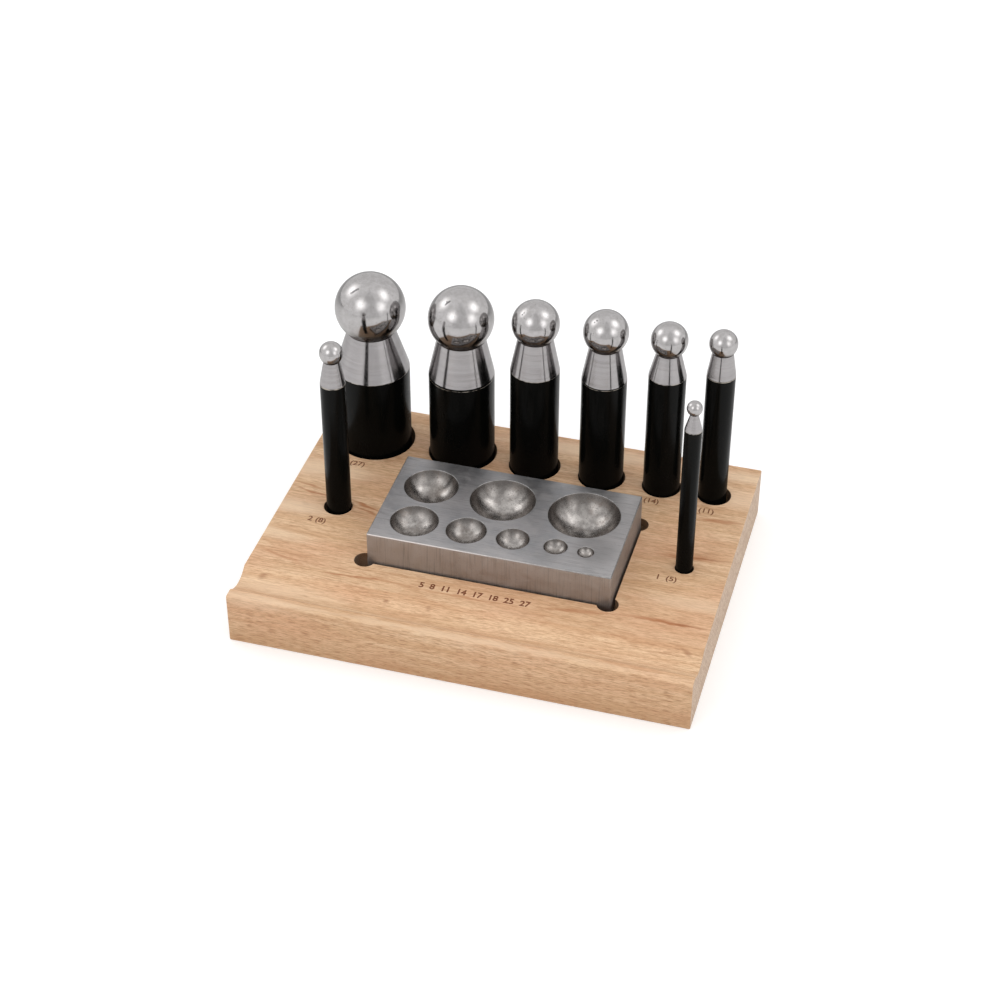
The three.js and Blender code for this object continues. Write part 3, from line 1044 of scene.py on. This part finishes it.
def polished_steel():
    """Bearing balls with painted shade darkening their lower part, brown and sooty from heat above
    the weld, with fine scratches.
    """
    recipe = Recipe("polished_steel")
    _, _, height = recipe.split(recipe.coordinates.outputs["Generated"])
    wander = recipe.noise(recipe.place((0.25, 0.25, 0.25)), detail=3)
    height = recipe.maths("MULTIPLY_ADD", wander, 0.12, height)
    # Painted shade: the lower part of the ball darker grey.
    painted_shade_low = recipe.between(height, 0.44, 0.3)
    brown = recipe.between(height, 0.33, 0.24)
    soot = recipe.between(height, 0.29, 0.2, 0.0, 0.7)
    haze = recipe.noise(recipe.place((0.5, 0.5, 0.5), shift=(1, 4, 2)), detail=4, roughness=0.65)
    scratches = recipe.noise(
        recipe.place((0.3, 4.0, 4.0), turn=(0.4, 0.3, 0.9)), detail=4, roughness=0.7
    )
    crossed = recipe.noise(
        recipe.place((3.6, 0.3, 3.6), turn=(0.2, 0.5, 0.3)), detail=4, roughness=0.7
    )
    scratches = recipe.maths("MAXIMUM", scratches, crossed)
    pits = recipe.between(recipe.cells(recipe.place((0.8, 0.8, 0.8))), 0.16, 0.06)
    colour = recipe.mix(recipe.between(haze, 0.3, 0.7), tone(182, 179, 178), tone(196, 193, 193))
    rust = recipe.noise(recipe.place((0.22, 0.22, 0.3), shift=(7, 3, 2)), detail=3)
    brown = recipe.maths("MULTIPLY", brown, recipe.between(rust, 0.36, 0.6, 0.25, 0.85))
    colour = recipe.mix(recipe.maths("MULTIPLY", painted_shade_low, 0.7), colour, tone(110, 108, 102))
    colour = recipe.mix(brown, colour, tone(92, 62, 44))
    colour = recipe.mix(soot, colour, tone(62, 52, 46))
    colour = recipe.mix(recipe.maths("MULTIPLY", pits, 0.5), colour, tone(90, 84, 80))
    colour = recipe.spotted(colour, BALL_SCUFFS, tone(58, 56, 58))
    # Painted shade in reflections: the balls show darker where steel reflects them.
    colour = recipe.painted_reflection_shade(colour, 0.35, tone(50, 48, 46))
    roughness = recipe.between(haze, 0.3, 0.75, 0.09, 0.15)
    roughness = recipe.maths("MULTIPLY_ADD", painted_shade_low, 0.13, roughness)
    roughness = recipe.maths("MULTIPLY_ADD", pits, 0.15, roughness)
    relief = recipe.maths("MULTIPLY_ADD", pits, -0.8, recipe.between(scratches, 0.6, 0.8))
    recipe.set(Metallic=1.0)
    return recipe.finish(colour, roughness, recipe.bump(relief, 0.012, 0.5))


def turned_steel():
    """The bright noses. Fine rings from the lathe spread what they reflect up and down."""
    recipe = Recipe("turned_steel")
    rings = recipe.noise(recipe.place((0.02, 0.02, 3.2)), detail=3, roughness=0.7)
    bands = recipe.noise(recipe.place((0.03, 0.03, 0.7), shift=(3, 1, 5)), detail=3)
    smears = recipe.noise(recipe.place((0.25, 0.25, 0.12)), detail=3)
    colour = recipe.mix(smears, tone(170, 167, 168), tone(188, 184, 184))
    colour = recipe.mix(recipe.between(bands, 0.4, 0.65, 0.0, 0.12), colour, tone(140, 134, 130))
    colour = recipe.mix(recipe.between(rings, 0.5, 0.72, 0.0, 0.18), colour, tone(120, 112, 108))
    # Painted shade in reflections: the noses show darker where steel reflects them.
    colour = recipe.painted_reflection_shade(colour, 0.2, tone(50, 48, 46))
    roughness = recipe.between(bands, 0.3, 0.7, 0.19, 0.25)
    recipe.set(Metallic=1.0, Anisotropic=0.85, Anisotropic_Rotation=0.25)
    return recipe.finish(colour, roughness, recipe.bump(rings, 0.003, 0.3))


def black_finish():
    """The shanks: a glossy black finish over drawn bar, slightly uneven and worn in places."""
    recipe = Recipe("black_finish")
    clouds = recipe.noise(recipe.place((0.12, 0.12, 0.06)), detail=4, roughness=0.6)
    drawn = recipe.noise(recipe.place((3.0, 3.0, 0.08)), detail=3, roughness=0.6)
    rubs = recipe.noise(recipe.place((0.8, 0.8, 0.5), shift=(4, 2, 9)), detail=4, roughness=0.7)
    colour = recipe.mix(clouds, tone(4, 5, 4), tone(11, 11, 10))
    colour = recipe.mix(recipe.between(rubs, 0.64, 0.8, 0.0, 0.35), colour, tone(46, 42, 38))
    roughness = recipe.between(clouds, 0.3, 0.75, 0.15, 0.26)
    roughness = recipe.maths("MULTIPLY_ADD", drawn, 0.06, roughness)
    recipe.set(Metallic=0.0, Specular_IOR_Level=0.12)
    return recipe.finish(colour, roughness, recipe.bump(drawn, 0.006, 0.4))


def worn_steel():
    """Where the black finish is worn through, in patches round the shank."""
    recipe = Recipe("worn_steel")
    patches = recipe.noise(recipe.place((0.6, 0.6, 1.6)), detail=3, roughness=0.6)
    bare = recipe.between(patches, 0.38, 0.56)
    colour = recipe.mix(bare, tone(30, 28, 25), tone(188, 180, 168))
    roughness = recipe.between(bare, 0.0, 1.0, 0.3, 0.42)
    recipe.set(Metallic=0.9)
    return recipe.finish(colour, roughness, recipe.bump(patches, 0.02, 0.5))


def weld_steel():
    """The thin seam under each ball, nearly black from the heat."""
    recipe = Recipe("weld_steel")
    spots = recipe.noise(recipe.place((1.5, 1.5, 1.5)), detail=3, roughness=0.6)
    colour = recipe.mix(spots, tone(18, 15, 12), tone(50, 39, 31))
    roughness = recipe.between(spots, 0.3, 0.7, 0.4, 0.6)
    recipe.set(Metallic=0.9)
    return recipe.finish(colour, roughness, recipe.bump(spots, 0.06, 0.6))


# Stage and light
def make_floor():
    mesh = bpy.data.meshes.new("floor")
    reach = FLOOR_REACH
    corners = [(-reach, -reach, 0), (reach, -reach, 0), (reach, reach, 0), (-reach, reach, 0)]
    mesh.from_pydata(corners, [], [(0, 1, 2, 3)])
    floor = bpy.data.objects.new("floor", mesh)
    bpy.context.scene.collection.objects.link(floor)
    floor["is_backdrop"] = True
    recipe = Recipe("pale_floor")
    path = recipe.tree.nodes.new("ShaderNodeLightPath")
    recipe.set(Roughness=0.9, Specular_IOR_Level=0.0, Emission_Color=(1, 1, 1, 1))
    lift = recipe.maths("MULTIPLY", path.outputs["Is Glossy Ray"], FLOOR_SHEEN)
    lift = recipe.maths("MULTIPLY_ADD", path.outputs["Is Camera Ray"], FLOOR_LIFT, lift)
    recipe.link(lift, recipe.shader.inputs["Emission Strength"])
    away = recipe.measure("DOT_PRODUCT", recipe.coordinates.outputs["Object"], TOWARDS_CAMERA)
    dim = recipe.between(away, *FLOOR_DIM_EDGE, 0.0, FLOOR_DIM)
    dim = recipe.maths("MULTIPLY", dim, path.outputs["Is Glossy Ray"])
    shade = recipe.maths("MULTIPLY_ADD", dim, -FLOOR_TONE, FLOOR_TONE)
    recipe.link(shade, recipe.shader.inputs["Base Color"])
    mesh.materials.append(recipe.material)


def make_world():
    """Even light, at full white where it shows and nearly so in what metal reflects. Towards the
    photographer it is a little darker, as the open front of a white tent is."""
    world = bpy.data.worlds.new("studio")
    bpy.context.scene.world = world
    world.use_nodes = True
    nodes = Nodes(world.node_tree)
    direction = nodes.add("ShaderNodeTexCoord", {}, output="Generated")
    sideways = (-TOWARDS_CAMERA[1], TOWARDS_CAMERA[0], 0)
    forward = nodes.measure("DOT_PRODUCT", direction, TOWARDS_CAMERA)
    aside = nodes.measure("DOT_PRODUCT", direction, sideways)
    inside = nodes.maths("MULTIPLY", forward, OPENING_SPREAD)
    inside = nodes.maths("SUBTRACT", inside, nodes.maths("ABSOLUTE", aside))
    shown = nodes.between(inside, *OPENING_EDGE, WORLD_SHOWN, WORLD_SHOWN - OPENING_DIM)
    backdrop = nodes.between(forward, *BACKDROP_EDGE, 1.0, BACKDROP_SHARE)
    shown = nodes.maths("MULTIPLY", shown, backdrop)
    path = nodes.tree.nodes.new("ShaderNodeLightPath")
    _, _, height = nodes.split(direction)
    height = nodes.maths("MAXIMUM", height, 0.0)
    level = nodes.maths("MULTIPLY_ADD", height, WORLD_ZENITH, WORLD_LEVEL)
    for ray, value in (("Transmission", shown), ("Glossy", shown), ("Camera", 1.0)):
        inputs = {0: path.outputs[f"Is {ray} Ray"], 2: level, 3: value}
        level = nodes.add("ShaderNodeMix", inputs)
    background = nodes.tree.nodes["Background"]
    nodes.link(level, background.inputs["Strength"])
    nodes.link((1, 1, 1, 1), background.inputs["Color"])


def make_lamps():
    """Four round lamps, each a small bright core in a wide glow, as through white cloth."""
    for name, direction, power in LAMPS:
        light = bpy.data.lights.new(name, "AREA")
        light.shape = "DISK"
        light.size = LAMP_SIZE
        light.energy = power
        light.use_nodes = True
        nodes = Nodes(light.node_tree)
        # Parametric coordinates run from 0 to 1 across the lamp.
        across = nodes.add("ShaderNodeNewGeometry", {}, output="Parametric")
        apart = nodes.measure("DISTANCE", across, (0.5, 0.5, 0.0))
        fade = nodes.maths("POWER", nodes.between(apart, *LAMP_GLOW), LAMP_FALL)
        nodes.link(fade, nodes.tree.nodes["Emission"].inputs["Strength"])
        lamp = bpy.data.objects.new(name, light)
        bpy.context.scene.collection.objects.link(lamp)
        aim = Vector(direction).normalized()
        lamp.location = LAMP_AIM + aim * LAMP_DISTANCE
        lamp.rotation_euler = aim.to_track_quat("Z", "Y").to_euler()


def make_camera():
    data = bpy.data.cameras.new("camera")
    data.sensor_width = SENSOR_WIDTH
    data.lens = CAMERA_LENS
    data.clip_start, data.clip_end = CLIP
    camera = bpy.data.objects.new("camera", data)
    bpy.context.scene.collection.objects.link(camera)
    camera.location = CAMERA_PLACE
    camera.rotation_euler = (math.radians(CAMERA_TILT), 0, math.radians(CAMERA_TURN))
    bpy.context.scene.camera = camera


# Scene
make_camera()
make_floor()
make_world()
make_lamps()
wood = [
    beech("beech"),
    beech("burnt_beech", 0.9, tone(112, 50, 18)),
    # Painted shade: the walls and floors of the bored hollows darkened as shade.
    beech("bored_beech_painted_shade", 0.76, tone(60, 34, 14)),
]
make_stand(wood)
make_block([ground_steel(), bowl_steel(), edge_steel()])
metals = {
    "ball": polished_steel(),
    "nose": turned_steel(),
    "black": black_finish(),
    "worn": worn_steel(),
    "weld": weld_steel(),
}
for size in PUNCHES:
    make_punch(size, metals)

bpy.context.scene.view_settings.view_transform = "Standard"

boxes = {"cad": CAD_BOX, "visual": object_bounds()}
{name: [list(corner) for corner in box] for name, box in boxes.items()}
